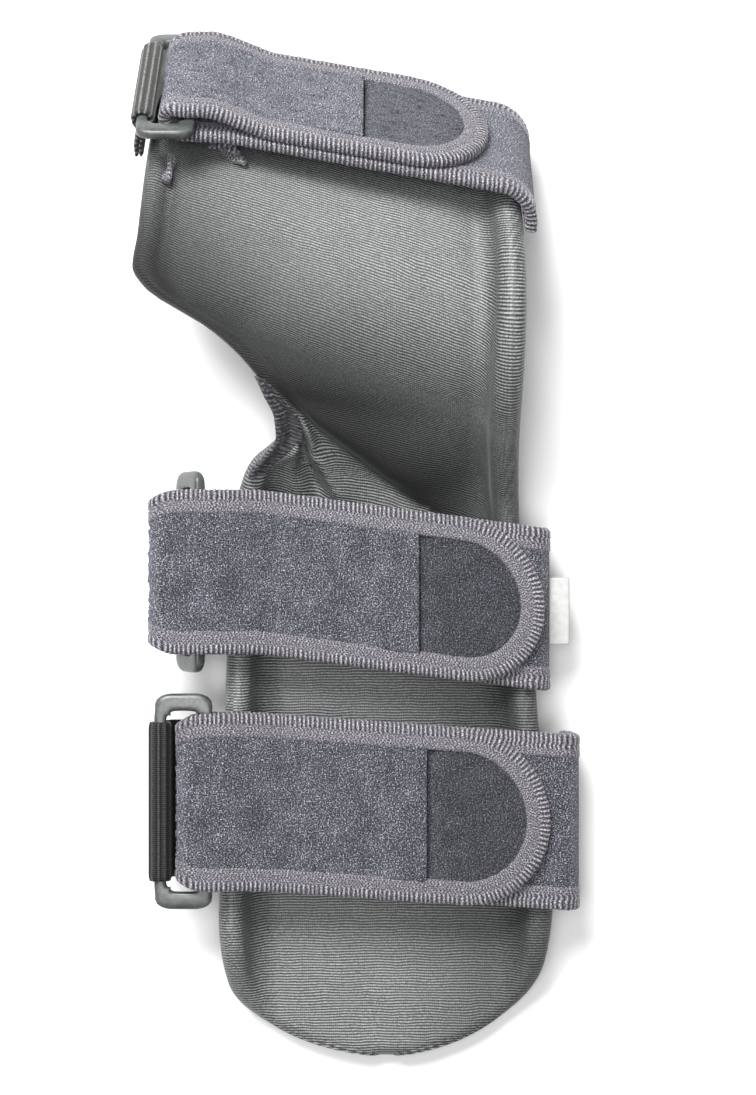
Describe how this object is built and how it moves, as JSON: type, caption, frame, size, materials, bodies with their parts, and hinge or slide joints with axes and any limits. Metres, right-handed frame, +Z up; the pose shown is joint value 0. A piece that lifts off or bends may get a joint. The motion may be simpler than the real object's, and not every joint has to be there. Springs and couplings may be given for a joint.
{
  "type": "resting hand splint",
  "caption": "Padded trough that carries a forearm, wrist and fingers open side up, with wide pile straps that run through rings at the thumb side and close with rounded tabs.",
  "frame": {"origin": "on the table under the middle of the bounding box", "axes": "+Y towards the fingertips, +X away from the thumb side, +Z up from the table out of the open side"},
  "size_m": [0.139, 0.3272, 0.0558],
  "materials": {
    "knit_cover": "fine stretch knit with a satin sheen",
    "loop_pile": "short brushed loop pile",
    "binding_knit": "overlocked ribbed knit",
    "ribbed_webbing": "woven with lengthwise ribs",
    "ring_plastic": "moulded, semi-gloss",
    "label_cloth": "bare satin tape"
  },
  "bodies": {
    "root": {"padded_shell": "knit_cover", "thumb_notch_edge": "binding_knit", "seam_tail": "binding_knit", "edge_seam_tail": "binding_knit", "wrist_label": "label_cloth", "forearm_strap": "loop_pile", "forearm_tab": "loop_pile", "forearm_strap_binding": "binding_knit", "forearm_ring": "ring_plastic", "forearm_webbing": "ribbed_webbing", "wrist_strap": "loop_pile", "wrist_tab": "loop_pile", "wrist_strap_binding": "binding_knit", "wrist_ring": "ring_plastic", "wrist_webbing": "ribbed_webbing", "finger_strap": "loop_pile", "finger_tab": "loop_pile", "finger_strap_binding": "binding_knit", "finger_ring": "ring_plastic", "finger_webbing": "ribbed_webbing"}
  },
  "joints": []
}
